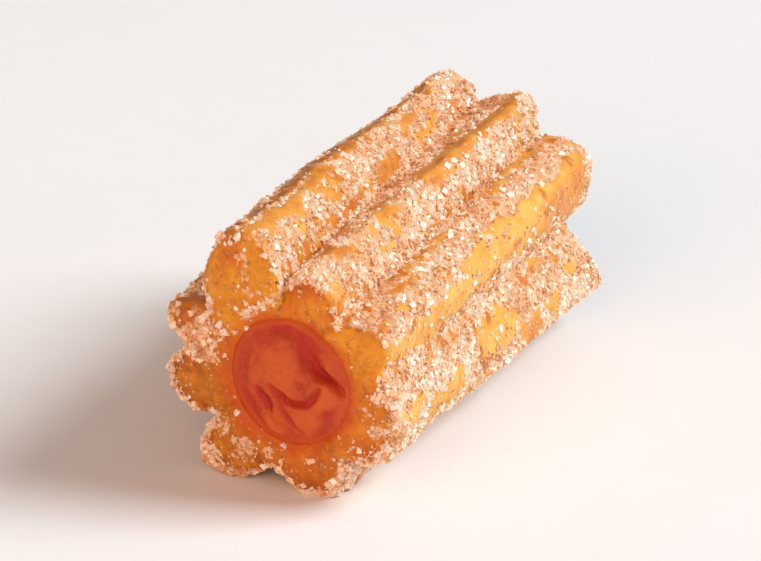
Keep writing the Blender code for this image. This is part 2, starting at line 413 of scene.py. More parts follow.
def doughMasks(rows, points):
    ridge, across = acrossRidges(doughMake["stepsToGroove"])
    along = rows[:, 0, None] + rows[:, 3, None] / churroShape["length"]
    onCut = softStep(0.35, 0.95, rows[:, 1, None] / churroShape["rimRound"]) * np.ones(points.shape[1])
    heap = layeredNoise(points, 1.7 * mm, 9)
    coat, golden, fried = coatMasks(points, along, ridge, across, heap)
    loose, cutGoldenAndShade, cutFriedAndShade = cutMasks(points, rows, ridge)
    groove = softStep(0.45, 1.0, np.abs(across))[None, :]
    spice = 0.36 + 0.30 * layeredNoise(points, 3.4 * mm, 37) + 0.12 * groove * (1 - onCut) - 0.42 * heap
    clump = 0.5 + 0.55 * smoothNoise(points, 0.75 * mm, 7) + 0.40 * smoothNoise(points, 0.45 * mm, 8)
    share = rows[:, 2, None] * np.ones(points.shape[1])
    soak = softStep(0.62, 1.0, share + 0.10 * layeredNoise(points, 2.0 * mm, 39)) * onCut
    return {
        "coat": mix(coat, loose, onCut), "golden": mix(golden, cutGoldenAndShade, onCut),
        "fried": np.clip(mix(fried, cutFriedAndShade, onCut), 0, 1), "spice": np.clip(spice, 0, 1),
        "soak": soak, "clump": np.clip(clump, 0, 1), "heap": heap, "onCut": onCut,
        "across": across, "share": share,
    }


def doughRelief(points, masks):
    make = doughMake
    coat, onCut, share = masks["coat"], masks["onCut"], masks["share"]
    slow = layeredNoise(points * (0.6, 1, 1), 7 * mm, 3, 2) * make["swell"]
    pits = layeredNoise(points, 1.5 * mm, 5) * make["pitting"]
    bed = 2 * masks["clump"] - 1 + 0.5 * smoothNoise(points, 0.30 * mm, 6)
    heaps = np.maximum(masks["heap"], -0.3)
    skin = slow + pits + coat * (bed * make["sugarBed"] + heaps * make["sugarHeaps"] + 0.10 * mm)
    seams = softStep(0.60, 1.0, np.abs(masks["across"])) ** 2 * (1 - softStep(0.3, 0.95, share))
    pores = -np.maximum(smoothNoise(points, 0.7 * mm, 15) - 0.35, 0) * 2.5 * make["facePores"]
    cut = layeredNoise(points, 3.0 * mm, 13) * 0.24 * mm + pores - seams * make["faceSeams"]
    relief = mix(skin, cut + coat * (bed * make["sugarBed"] + 0.08 * mm), onCut)
    return relief * (1 - softStep(0.85, 1.0, share) * 0.8)


def gridFaces(rows, columns):
    row, column = np.meshgrid(np.arange(rows), np.arange(columns), indexing="ij")
    down, across = (row + 1) % rows, (column + 1) % columns
    corners = [row * columns + column, row * columns + across, down * columns + across, down * columns + column]
    return np.stack(corners, -1).reshape(-1, 4)


def layOutGrid(piece, rows, columns):  # the skin unrolled flat, as a UV layer
    edge = np.append(np.arange(rows), rows) / rows * 0.95
    v = np.stack([edge[:-1], edge[1:]], 1)
    v[boreRow] = (0.96, 1.0)
    u = np.stack([np.arange(columns), np.arange(columns) + 1], 1) / columns
    uv = np.zeros((rows, columns, 4, 2))
    uv[..., (0, 3), 0] = u[None, :, 0, None]
    uv[..., (1, 2), 0] = u[None, :, 1, None]
    uv[..., (0, 1), 1] = v[:, None, 0, None]
    uv[..., (2, 3), 1] = v[:, None, 1, None]
    layer = piece.data.uv_layers.new(name="OFBake")
    layer.uv.foreach_set("vector", uv.astype(np.float32).ravel())


def makeDough():
    rows, angle, points = doughGrid()
    low, high = points.reshape(-1, 3).min(0), points.reshape(-1, 3).max(0)
    cadLow, cadHigh = (np.array(corner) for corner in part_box("dough"))
    shift = (cadLow + cadHigh) / 2 - (low + high) / 2
    shift[2] = 0.0
    masks = doughMasks(rows, points)
    points = points + shift
    points = points + gridNormals(points) * doughRelief(points, masks)[..., None]
    points[..., 2] = np.maximum(points[..., 2], 0.0)
    faces = gridFaces(*points.shape[:2])
    piece = makeMesh("sugared_dough", points, faces, True)
    for name in ("coat", "golden", "fried", "spice", "soak", "clump", "onCut"):
        paintPoints(piece, name, masks[name])
    layOutGrid(piece, points.shape[0], points.shape[1])
    return piece, points, masks, shift


dough, skinPoints, skinMasks, modelShift = makeDough()
print("dough skin:", len(dough.data.polygons), "faces")


# ---- the filling: a core with soft folds on both ends

fillingMake = {
    "sides": 160,
    "rings": 48,
    "overlap": 0.12 * mm,  # into the dough, so that no gap shows
    "smear": 0.34 * mm,  # how far it is dragged over the dough by the cut
    "dome": 0.60 * mm,
    "edgeHeight": 0.12 * mm,
    "edgeDip": 0.12 * mm,
    # Folds across an end. Each: points (right, up and width, in shares of its radius), depth, and how darkly its
    # groove is painted as shade.
    "folds": [
        ([(0.02, 0.82, 0.10), (0.22, 0.72, 0.13), (0.36, 0.50, 0.15), (0.48, 0.30, 0.13),
          (0.62, 0.20, 0.08), (0.76, 0.06, 0.06), (0.86, -0.10, 0.04)], 0.62, 1.0),
        ([(0.40, 0.40, 0.05), (0.52, 0.26, 0.07), (0.64, 0.18, 0.07), (0.76, 0.06, 0.04)], 0.25, 1.35),
        ([(-0.26, -0.02, 0.04), (-0.17, -0.14, 0.08), (-0.04, -0.22, 0.07), (0.10, -0.26, 0.05),
          (0.28, -0.24, 0.05), (0.42, -0.12, 0.04), (0.50, 0.02, 0.03)], 0.45, 1.0),
        ([(-0.10, -0.22, 0.05), (-0.06, -0.42, 0.05), (0.06, -0.60, 0.04), (0.20, -0.70, 0.03)], 0.28, 0.60),
        ([(-0.50, -0.16, 0.05), (-0.42, -0.29, 0.08), (-0.34, -0.40, 0.07), (-0.26, -0.50, 0.04)], 0.42, 1.15),
        ([(-0.34, -0.46, 0.04), (-0.24, -0.62, 0.05), (-0.08, -0.74, 0.04)], 0.18, 0.30),
        ([(-0.34, 0.78, 0.06), (-0.54, 0.60, 0.08), (-0.68, 0.34, 0.08), (-0.74, 0.02, 0.07),
          (-0.70, -0.32, 0.07), (-0.58, -0.60, 0.06), (-0.34, -0.80, 0.05), (-0.05, -0.90, 0.04)], 0.22, 0.46),
        ([(-0.62, 0.74, 0.05), (-0.80, 0.46, 0.09), (-0.90, 0.10, 0.08), (-0.86, -0.30, 0.06)], 0.16, 0.48),
        ([(0.52, -0.40, 0.09), (0.63, -0.37, 0.13), (0.76, -0.32, 0.09)], 0.16, 0.75),
        ([(-0.34, 0.86, 0.06), (-0.12, 0.84, 0.10), (0.08, 0.84, 0.08)], 0.18, 0.90),
        ([(-0.52, 0.50, 0.04), (-0.34, 0.60, 0.06), (-0.14, 0.54, 0.04)], 0.14, 0.45),
        ([(-0.60, 0.10, 0.03), (-0.50, 0.30, 0.05), (-0.44, 0.46, 0.03)], 0.12, 0.35),
        ([(0.30, -0.88, 0.05), (0.54, -0.74, 0.07), (0.76, -0.52, 0.05)], 0.15, 0.55),
        ([(0.10, 0.10, 0.03), (0.24, 0.00, 0.05), (0.30, -0.14, 0.03)], 0.12, 0.25),
    ],
    # Soft lumps. Each: right, up and reach in shares of the radius, height in mm. Their tops are painted paler, as
    # painted light.
    "lumps": [(-0.10, 0.20, 0.42, 0.34), (0.55, -0.12, 0.24, 0.30), (-0.22, -0.66, 0.20, 0.22),
              (0.26, -0.50, 0.24, 0.20), (-0.50, 0.10, 0.20, 0.12)],
}


def curveThrough(knots, steps=12):  # a smooth curve through a few points
    knots = np.array([knots[0], *knots, knots[-1]], float)
    found = []
    for a, b, c, d in zip(knots, knots[1:], knots[2:], knots[3:]):
        t = np.linspace(0, 1, steps, endpoint=False)[:, None]
        found.append(0.5 * (2 * b + (c - a) * t + (2 * a - 5 * b + 4 * c - d) * t**2
                            + (3 * b - a - 3 * c + d) * t**3))
    return np.concatenate([*found, knots[-1:]])


def foldField(right, up):  # height, painted shade in the fold grooves and painted light on the lumps, at points of the unit disc
    height, foldShade, pale = (np.zeros(right.shape) for _ in range(3))
    warp = np.stack([right * 3, up * 3, np.zeros(right.shape)], -1)
    spot = np.stack([right, up], -1)
    spot = spot + 0.04 * np.stack([smoothNoise(warp, 0.8, 51), smoothNoise(warp, 0.8, 52)], -1)
    for knots, deep, foldShadeDepth in fillingMake["folds"]:
        line = curveThrough(knots)
        gap = np.linalg.norm(spot[..., None, :] - line[:, :2], axis=-1)
        nearest = gap.argmin(-1)
        wide = line[nearest, 2]
        ends = np.sin(math.pi * np.clip((nearest + 2) / (len(line) + 3), 0, 1)) ** 0.5
        gap = gap.min(-1)
        groove = np.exp(-((gap / wide) ** 2)) * ends
        lips = np.exp(-(((gap - wide * 1.8) / (wide * 0.8)) ** 2)) * ends
        height += 0.25 * deep * lips - deep * groove
        foldShade = np.maximum(foldShade, foldShadeDepth * groove**0.8)
    for lumpRight, lumpUp, reach, rise in fillingMake["lumps"]:
        lump = np.exp(-((np.hypot(spot[..., 0] - lumpRight, spot[..., 1] - lumpUp) / reach) ** 2))
        height += rise * lump
        pale = np.maximum(pale, lump)
    return height, foldShade, pale * np.clip(1 - foldShade, 0, 1)


def fillingEnd(outwards, turn):  # rings of one end, from its middle to its edge
    make = fillingMake
    share = ((np.arange(1, make["rings"] + 1) / make["rings"]) ** 0.85)[:, None]
    right, up = share * np.cos(turn), share * np.sin(turn)
    along = 0.0 if outwards < 0 else 1.0
    height, foldShade, pale = foldField(right, up) if outwards < 0 else foldField(-up, right)
    boreRight, boreUp, boreRadius = bore(along)
    ring = np.stack([np.cos(turn), np.sin(turn), np.full(len(turn), along)], -1)
    smear = make["smear"] * softStep(-0.6, 0.9, layeredNoise(ring, 0.55, 57))
    reach = boreRadius + make["overlap"] + smear
    points = place(along, boreRight + reach * right, boreUp + reach * up)
    fade = 1 - softStep(0.84, 1.0, share)
    lift = make["edgeHeight"] + make["dome"] * (1 - share**2)
    skin = 0.11 * layeredNoise(points, 1.6 * mm, 61) + 0.08 * layeredNoise(points, 0.6 * mm, 65, 2)
    lift = lift + (height + skin) * mm * fade
    lift = lift - (make["edgeHeight"] + make["edgeDip"]) * softStep(0.88, 1.0, share) ** 1.5
    points[..., 0] += outwards * lift
    return points, foldShade * fade, pale * fade, np.broadcast_to(share, foldShade.shape)


def makeFilling(shift):
    make = fillingMake
    turn = np.arange(make["sides"]) / make["sides"] * math.tau
    front, back = fillingEnd(-1, turn), fillingEnd(1, turn)
    inner = []
    for along in (0.03, 0.35, 0.65, 0.97):
        boreRight, boreUp, boreRadius = bore(along)
        reach = boreRadius + make["overlap"]
        inner.append(place(along, boreRight + reach * np.cos(turn), boreUp + reach * np.sin(turn)))
    rings = np.concatenate([front[0], inner, back[0][::-1]])
    fold, pale, edge = (
        np.concatenate([front[i], np.full((len(inner), make["sides"]), float(i == 3)), back[i][::-1]])
        for i in (1, 2, 3))
    centres = np.stack([rings[0].mean(0), rings[-1].mean(0)])
    points = np.concatenate([rings.reshape(-1, 3), centres]) + shift
    points[:, 2] = np.maximum(points[:, 2], 0.0)
    count, sides = len(rings), make["sides"]
    row, column = np.meshgrid(np.arange(count - 1), np.arange(sides), indexing="ij")
    across = (column + 1) % sides
    quads = np.stack([row * sides + column, (row + 1) * sides + column,
                      (row + 1) * sides + across, row * sides + across], -1).reshape(-1, 4)
    at, after = np.arange(sides), (np.arange(sides) + 1) % sides
    frontFan = np.stack([np.full(sides, count * sides), at, after], -1)
    last = (count - 1) * sides
    backFan = np.stack([np.full(sides, count * sides + 1), last + after, last + at], -1)
    mesh = bpy.data.meshes.new("orange_filling")
    mesh.from_pydata(points.tolist(), [], quads.tolist() + frontFan.tolist() + backFan.tolist())
    mesh.polygons.foreach_set("use_smooth", np.full(len(mesh.polygons), True))
    mesh.update()
    piece = bpy.data.objects.new("orange_filling", mesh)
    bpy.context.scene.collection.objects.link(piece)
    # fold carries the painted shade of the grooves, pale the painted light on the lumps
    for name, values in (("fold", fold), ("pale", pale), ("edge", edge)):
        paintPoints(piece, name, np.append(values.ravel(), values[(0, -1), 0]))
    return piece


filling = makeFilling(modelShift)
print("filling:", len(filling.data.polygons), "faces")


# ---- sugar: grains as real crystals, laid over the skin by how thick the coat is

boxCrystal = {
    "points": [(x, y, z) for x in (-0.5, 0.5) for y in (-0.5, 0.5) for z in (-0.5, 0.5)],
    "faces": [(0, 1, 3, 2), (4, 6, 7, 5), (0, 4, 5, 1), (2, 3, 7, 6), (0, 2, 6, 4), (1, 5, 7, 3)],
}
chipCrystal = {
    "points": [(0.6, 0, 0), (-0.6, 0, 0), (0, 0.55, 0), (0, -0.55, 0), (0, 0, 0.5), (0, 0, -0.5)],
    "faces": [(0, 2, 4), (2, 1, 4), (1, 3, 4), (3, 0, 4), (2, 0, 5), (1, 2, 5), (3, 1, 5), (0, 3, 5)],
}
sugarKinds = {
    "fine_sugar": {
        "form": chipCrystal, "count": 24500, "size": (0.22, 0.38), "skew": 1.0, "flat": 0.8, "jitter": 0.14,
        "sink": 0.15, "lift": 0.20, "raised": 0.0, "onBare": 0.05, "onCut": 0.22, "onClumps": 0.8, "seed": 101,
    },
    # Spiced grains, the darkest tan, gather in the hollows between clumps, partly as painted shade there.
    "spiced_sugar": {
        "form": chipCrystal, "count": 18000, "size": (0.20, 0.38), "skew": 1.0, "flat": 0.8, "jitter": 0.16,
        "sink": 0.25, "lift": 0.05, "raised": 0.0, "onBare": 0.06, "onCut": 0.22, "onClumps": -1.2, "seed": 105,
    },
    "coarse_sugar": {
        "form": boxCrystal, "count": 16500, "size": (0.30, 0.56), "skew": 1.3, "flat": 0.7, "jitter": 0.16,
        "sink": 0.15, "lift": 0.24, "raised": 0.0, "onBare": 0.025, "onCut": 0.22, "onClumps": 1.4, "seed": 102,
    },
    "clear_sugar": {
        "form": boxCrystal, "count": 5600, "size": (0.32, 0.60), "skew": 1.3, "flat": 0.7, "jitter": 0.16,
        "sink": 0.05, "lift": 0.40, "raised": 0.0, "onBare": 0.04, "onCut": 0.5, "onClumps": 1.5, "seed": 103,
    },
    "cinnamon_specks": {
        "form": chipCrystal, "count": 8600, "size": (0.24, 0.58), "skew": 1.8, "flat": 0.6, "jitter": 0.16,
        "sink": 0.0, "lift": 0.50, "raised": 0.22, "onBare": 0.14, "onCut": 1.3, "onClumps": -0.5, "seed": 104,
    },
}


def aroundFaces(values):  # mean of a value over the corners of each face
    down = np.roll(values, -1, 0)
    return (values + np.roll(values, -1, 1) + down + np.roll(down, -1, 1)) / 4


def skinQuads(points, masks):  # corners, area, normal and masks of every face of the skin
    down, across = np.roll(points, -1, 0), np.roll(points, -1, 1)
    both = np.roll(down, -1, 1)
    corners = np.stack([points, across, both, down], 2)
    turn = np.cross(both - points, down - across) / 2
    area = np.linalg.norm(turn, axis=-1)
    normal = turn / np.maximum(area, 1e-15)[..., None]
    area[boreRow] = 0.0
    return corners, area, normal, *(aroundFaces(masks[name]) for name in ("coat", "spice", "clump", "onCut", "heap"))


def scatter(kind, quads):
    corners, area, normal, coat, spice, clump, onCut, heap = quads
    rng = np.random.default_rng(kind["seed"])
    low = softStep(-0.95, -0.2, normal[..., 2])  # little of it stays on the underside
    heaped = np.clip(0.5 + kind["onClumps"] * (clump - 0.5 + 0.30 * heap), 0.03, 1)
    cover = kind["onBare"] * mix(1, kind["onCut"], onCut)
    weight = area * mix(cover, 1, coat**1.5) * (0.25 + 0.75 * low) * heaped
    chosen = rng.choice(weight.size, kind["count"], p=(weight / weight.sum()).ravel())
    s, t = rng.random((2, kind["count"], 1))
    a, b, c, d = corners.reshape(-1, 4, 3)[chosen].transpose(1, 0, 2)
    spots = mix(mix(a, b, s), mix(d, c, s), t)
    size = mix(*kind["size"], rng.random(kind["count"]) ** kind["skew"]) * mm
    out = normal.reshape(-1, 3)[chosen]
    lift = size * (mix(-kind["sink"], kind["lift"], rng.random(kind["count"]) ** 1.5) + 0.1)
    lift = lift + kind["raised"] * mm
    spots = spots + out * lift[:, None]
    spots[:, 2] = np.maximum(spots[:, 2], size * 0.45)
    # Grains darken with the spice, and in the hollows between clumps as painted shade.
    shift = 0.45 * (spice.ravel()[chosen] - 0.35) - 0.35 * (clump.ravel()[chosen] - 0.5)
    tone = np.clip(rng.random(kind["count"]) + shift, 0, 1)
    return spots, size, tone, rng


def randomTurns(rng, count):
    w, x, y, z = (q := rng.normal(size=(count, 4))).T / np.linalg.norm(q, axis=1)
    return np.stack([
        np.stack([1 - 2 * (y * y + z * z), 2 * (x * y - z * w), 2 * (x * z + y * w)], -1),
        np.stack([2 * (x * y + z * w), 1 - 2 * (x * x + z * z), 2 * (y * z - x * w)], -1),
        np.stack([2 * (x * z - y * w), 2 * (y * z + x * w), 1 - 2 * (x * x + y * y)], -1),
    ], 1)


def makeGrains(name, kind, quads):
    spots, size, tone, rng = scatter(kind, quads)
    form = np.array(kind["form"]["points"], float)
    count = kind["count"]
    local = form + rng.normal(0, kind["jitter"] / 2, (count, len(form), 3))
    local = local * np.stack([np.ones(count), rng.uniform(0.65, 1.0, count),
                              rng.uniform(0.5, 1.0, count) * kind["flat"] / 0.7], -1)[:, None, :]
    turned = np.einsum("nij,nvj->nvi", randomTurns(rng, count), local) * size[:, None, None]
    points = turned + spots[:, None, :]
    points[..., 2] = np.maximum(points[..., 2], 0.0)
    faces = np.array(kind["form"]["faces"])
    allFaces = (faces[None] + np.arange(count)[:, None, None] * len(form)).reshape(-1, faces.shape[1])
    piece = makeMesh(name, points, allFaces, False)
    paintFaces(piece, "tone", np.repeat(tone, len(faces)))
    layOutGrains(piece, count, len(faces), faces.shape[1])
    return piece


def layOutGrains(piece, count, faceCount, cornerCount):  # one cell of the picture for each grain
    across = math.ceil(math.sqrt(count))
    cell = np.stack([np.arange(count) % across, np.arange(count) // across], -1) + 0.5
    turn = np.arange(cornerCount) / cornerCount * math.tau + 0.4
    spot = 0.4 * np.stack([np.cos(turn), np.sin(turn)], -1)
    uv = (cell[:, None, None, :] + spot[None, None]) / across
    uv = np.broadcast_to(uv, (count, faceCount, cornerCount, 2))
    layer = piece.data.uv_layers.new(name="OFBake")
    layer.uv.foreach_set("vector", uv.astype(np.float32).ravel())


quads = skinQuads(skinPoints, skinMasks)
grains = {name: makeGrains(name, kind, quads) for name, kind in sugarKinds.items()}
print("sugar:", {name: len(piece.data.polygons) for name, piece in grains.items()})


# ---- shared node groups

def newGroup(name, inputs, outputs):
    group = bpy.data.node_groups.new(name, "ShaderNodeTree")
    for label, kind, value in inputs:
        socket = group.interface.new_socket(label, in_out="INPUT", socket_type="NodeSocket" + kind)
        if value is not None:
            socket.default_value = value
    for label, kind in outputs:
        group.interface.new_socket(label, in_out="OUTPUT", socket_type="NodeSocket" + kind)
    return group, group.nodes.new("NodeGroupInput"), group.nodes.new("NodeGroupOutput")


def link(tree, source, target):
    tree.links.new(source, target)


def noiseNode(tree, vector, scale, detail=3.0, roughness=0.55):
    node = tree.nodes.new("ShaderNodeTexNoise")
    node.inputs["Scale"].default_value = scale
    node.inputs["Detail"].default_value = detail
    node.inputs["Roughness"].default_value = roughness
    link(tree, vector, node.inputs["Vector"])
    return node.outputs["Fac"]


def mathNode(tree, operation, first, second=None, clamp=False):
    node = tree.nodes.new("ShaderNodeMath")
    node.operation = operation
    node.use_clamp = clamp
    for socket, value in zip(node.inputs, (first, second)):
        if value is None:
            continue
        if isinstance(value, (int, float)):
            socket.default_value = value
        else:
            link(tree, value, socket)
    return node.outputs[0]


def rangeNode(tree, value, low, high, toLow=0.0, toHigh=1.0):
    node = tree.nodes.new("ShaderNodeMapRange")
    node.interpolation_type = "SMOOTHSTEP"
    for label, number in (("From Min", low), ("From Max", high), ("To Min", toLow), ("To Max", toHigh)):
        node.inputs[label].default_value = number
    link(tree, value, node.inputs["Value"])
    return node.outputs["Result"]


def mixNode(tree, share, first, second, blend="MIX"):
    node = tree.nodes.new("ShaderNodeMix")
    node.data_type = "RGBA"
    node.blend_type = blend
    for label, value in (("Factor", share), ("A", first), ("B", second)):
        socket = next(s for s in node.inputs if s.name == label and s.enabled)
        if isinstance(value, (int, float)) and label == "Factor":
            socket.default_value = value
        elif isinstance(value, (int, float)):
            socket.default_value = (value, value, value, 1.0)
        elif isinstance(value, tuple):
            socket.default_value = (*value, 1.0)
        else:
            link(tree, value, socket)
    return next(s for s in node.outputs if s.name == "Result" and s.enabled)


def attribute(tree, name):
    node = tree.nodes.new("ShaderNodeAttribute")
    node.attribute_name = name
    return node.outputs["Fac"]


def buildMottle():  # patches of two tones over two scales, and the matching relief
    group, source, target = newGroup(
        "mottle",
        [("Pale", "Color", (0.9, 0.5, 0.1, 1)), ("Deep", "Color", (0.6, 0.2, 0.03, 1)),
         ("Patch Scale", "Float", 500.0), ("Fine Scale", "Float", 2500.0), ("Contrast", "Float", 1.0)],
        [("Color", "Color"), ("Height", "Float")],
    )
    place_ = group.nodes.new("ShaderNodeTexCoord").outputs["Object"]
    large = noiseNode(group, place_, 1.0, 4.0)
    fine = noiseNode(group, place_, 1.0, 3.0)
    link(group, source.outputs["Patch Scale"], large.node.inputs["Scale"])
    link(group, source.outputs["Fine Scale"], fine.node.inputs["Scale"])
    both = mathNode(group, "ADD", mathNode(group, "MULTIPLY", large, 0.65), mathNode(group, "MULTIPLY", fine, 0.35))
    share = rangeNode(group, both, 0.36, 0.64)
    share = mathNode(group, "MULTIPLY", share, source.outputs["Contrast"], True)
    colour = mixNode(group, share, source.outputs["Pale"], source.outputs["Deep"])
    link(group, colour, target.inputs["Color"])
    link(group, both, target.inputs["Height"])
    return group


def buildGrainTone():  # one of three tones for each grain, and a little haze in it
    group, source, target = newGroup(
        "grainTone",
        [("Tone", "Float", 0.5), ("Common", "Color", (0.9, 0.6, 0.4, 1)), ("Pale", "Color", (1, 0.9, 0.8, 1)),
         ("Dusted", "Color", (0.8, 0.4, 0.2, 1)), ("Pale Share", "Float", 0.2),
         ("Dusted Share", "Float", 0.2)],
        [("Color", "Color")],
    )
    tone = source.outputs["Tone"]
    pale = mathNode(group, "LESS_THAN", tone, source.outputs["Pale Share"])
    rest = mathNode(group, "SUBTRACT", 1.0, source.outputs["Dusted Share"])
    dusted = mathNode(group, "GREATER_THAN", tone, rest)
    colour = mixNode(group, pale, source.outputs["Common"], source.outputs["Pale"])
    colour = mixNode(group, dusted, colour, source.outputs["Dusted"])
    drift = mathNode(group, "FRACT", mathNode(group, "MULTIPLY", tone, 37.0))
    shade = rangeNode(group, drift, 0.0, 1.0, 0.86, 1.06)
    node = group.nodes.new("ShaderNodeVectorMath")
    node.operation = "SCALE"
    link(group, colour, node.inputs[0])
    link(group, shade, node.inputs["Scale"])
    link(group, node.outputs[0], target.inputs["Color"])
    return group


mottle, grainTone = buildMottle(), buildGrainTone()


def useGroup(tree, group, **values):
    node = tree.nodes.new("ShaderNodeGroup")
    node.node_tree = group
    for label, value in values.items():
        socket = node.inputs[label.replace("_", " ")]
        if isinstance(value, tuple):
            socket.default_value = (*value, 1.0)
        elif isinstance(value, (int, float)):
            socket.default_value = value
        else:
            link(tree, value, socket)
    return node


def newMaterial(name, **settings):
    material = bpy.data.materials.new(name)
    material.use_nodes = True
    shader = material.node_tree.nodes["Principled BSDF"]
    for label, value in settings.items():
        shader.inputs[label.replace("_", " ")].default_value = value
    return material, material.node_tree, shader


# ---- finishes

doughFinish = {
    "golden": (0.83, 0.48, 0.095),
    "goldenDeep": (0.76, 0.33, 0.045),
    "amber": (0.76, 0.27, 0.030),
    "amberDeep": (0.62, 0.17, 0.018),
    "fried": (0.36, 0.085, 0.018),
    "crumbGolden": (0.80, 0.39, 0.022),
    "crumbGoldenDeep": (0.64, 0.235, 0.012),
    "crumbAmber": (0.71, 0.205, 0.011),
    "crumbAmberDeep": (0.52, 0.118, 0.007),
    # fried crumb, also used as painted shade in pores and on the lower lobes of the cut
    "crumbFriedAndShade": (0.34, 0.092, 0.009),
    "soaked": (0.58, 0.086, 0.008),
    "sugarPale": (0.94, 0.60, 0.39),
    "sugarWarm": (0.87, 0.47, 0.25),
    "sugarSpiced": (0.64, 0.26, 0.11),
    # hollows between sugar clumps: spice showing through, and painted shade
    "sugarGapsAndShade": (0.68, 0.35, 0.155),
}


def finishDough():
    look = doughFinish
    material, tree, shader = newMaterial(
        "sugared_fried_dough", Subsurface_Weight=0.30, Subsurface_Scale=1.1 * mm,
        Subsurface_Radius=(1.0, 0.40, 0.14), Specular_IOR_Level=0.25,
    )
    coat, golden, fried, spice, soak, clump, onCut = (
        attribute(tree, name) for name in ("coat", "golden", "fried", "spice", "soak", "clump", "onCut"))
    where = tree.nodes.new("ShaderNodeTexCoord").outputs["Object"]

    def twoTone(name):
        tones = useGroup(tree, mottle, Pale=look[name], Deep=look[name + "Deep"], Patch_Scale=420.0,
                         Fine_Scale=1900.0, Contrast=0.9)
        return tones.outputs["Color"]

    skin = mixNode(tree, golden, twoTone("amber"), twoTone("golden"))
    crumb = mixNode(tree, golden, twoTone("crumbAmber"), twoTone("crumbGolden"))
    patchy = rangeNode(tree, noiseNode(tree, where, 900.0), 0.36, 0.60, 0.25, 1.0)
    # Fried patches; on the lower lobes of the cut they are partly painted shade.
    burntAndShade = mathNode(tree, "MULTIPLY", fried, patchy, True)
    skin = mixNode(tree, burntAndShade, skin, look["fried"])
    crumb = mixNode(tree, burntAndShade, crumb, look["crumbFriedAndShade"])
    # Dark specks over the crumb in the fried colour: painted shade in its pores.
    pores = rangeNode(tree, noiseNode(tree, where, 1300.0, 4.0, 0.65), 0.54, 0.69, 0.0, 0.72)
    crumb = mixNode(tree, pores, crumb, look["crumbFriedAndShade"])
    crumb = mixNode(tree, mathNode(tree, "MULTIPLY", soak, 0.85), crumb, look["soaked"])
    crust = mixNode(tree, onCut, skin, crumb)
    sugar = useGroup(tree, mottle, Pale=look["sugarPale"], Deep=look["sugarWarm"], Patch_Scale=700.0,
                     Fine_Scale=3800.0, Contrast=0.9)
    dusty = mathNode(tree, "MULTIPLY", spice, noiseNode(tree, where, 1500.0))
    sugared = mixNode(tree, rangeNode(tree, dusty, 0.18, 0.50), sugar.outputs["Color"], look["sugarSpiced"])
    # Low places of the clumped sugar bed take the darker gap tan: partly spice, partly painted shade in the hollows.
    sugared = mixNode(tree, rangeNode(tree, clump, 0.15, 0.60, 0.85, 0.0), sugared, look["sugarGapsAndShade"])
    grainy = mathNode(tree, "SUBTRACT", noiseNode(tree, where, 2600.0, 2.0), 0.5)
    cover = rangeNode(tree, mathNode(tree, "ADD", coat, mathNode(tree, "MULTIPLY", grainy, 2.4)), 0.40, 0.60)
    link(tree, mixNode(tree, cover, crust, sugared), shader.inputs["Base Color"])
    oily = rangeNode(tree, noiseNode(tree, where, 1100.0), 0.35, 0.65, 0.30, 0.50)
    link(tree, mixNode(tree, cover, oily, 0.72), shader.inputs["Roughness"])
    bump = tree.nodes.new("ShaderNodeBump")
    bump.inputs["Strength"].default_value = 0.6
    bump.inputs["Distance"].default_value = 0.14 * mm
    relief = mathNode(tree, "MULTIPLY", noiseNode(tree, where, 4600.0, 3.0), mathNode(tree, "ADD", coat, 0.45))
    link(tree, relief, bump.inputs["Height"])
    link(tree, bump.outputs["Normal"], shader.inputs["Normal"])
    return material


fillingFinish = {
    # pale: painted light on the raised lumps
    "pale": (0.62, 0.122, 0.015),
    "body": (0.57, 0.086, 0.011),
    "deep": (0.43, 0.040, 0.008),
    # fold and crease: painted shade in the fold grooves
    "fold": (0.44, 0.022, 0.006),
    "crease": (0.34, 0.008, 0.004),
    "rim": (0.56, 0.088, 0.011),
}


def finishFilling():
    look = fillingFinish
    material, tree, shader = newMaterial(
        "folded_orange_filling", Subsurface_Weight=0.20, Subsurface_Scale=0.6 * mm,
        Subsurface_Radius=(1.0, 0.25, 0.10), Specular_IOR_Level=0.35,
    )
    where = tree.nodes.new("ShaderNodeTexCoord").outputs["Object"]
    body = useGroup(tree, mottle, Pale=look["body"], Deep=look["deep"], Patch_Scale=420.0,
                    Fine_Scale=1500.0, Contrast=1.0)
    # Raised lumps are painted paler: painted light on their tops.
    lumps = rangeNode(tree, attribute(tree, "pale"), 0.10, 0.90, 0.0, 0.70)
    colour = mixNode(tree, lumps, body.outputs["Color"], look["pale"])
    colour = mixNode(tree, rangeNode(tree, attribute(tree, "edge"), 0.82, 0.98), colour, look["rim"])
    # The fold grooves are painted darker red, darkest in the creases: painted shade.
    colour = mixNode(tree, rangeNode(tree, attribute(tree, "fold"), 0.10, 0.85), colour, look["fold"])
    colour = mixNode(tree, rangeNode(tree, attribute(tree, "fold"), 0.85, 1.25), colour, look["crease"])
    link(tree, colour, shader.inputs["Base Color"])
    link(tree, rangeNode(tree, noiseNode(tree, where, 900.0), 0.3, 0.7, 0.42, 0.62), shader.inputs["Roughness"])
    bump = tree.nodes.new("ShaderNodeBump")
    bump.inputs["Strength"].default_value = 0.8
    bump.inputs["Distance"].default_value = 0.18 * mm
    link(tree, noiseNode(tree, where, 2000.0, 4.0, 0.62), bump.inputs["Height"])
    link(tree, bump.outputs["Normal"], shader.inputs["Normal"])
    return material


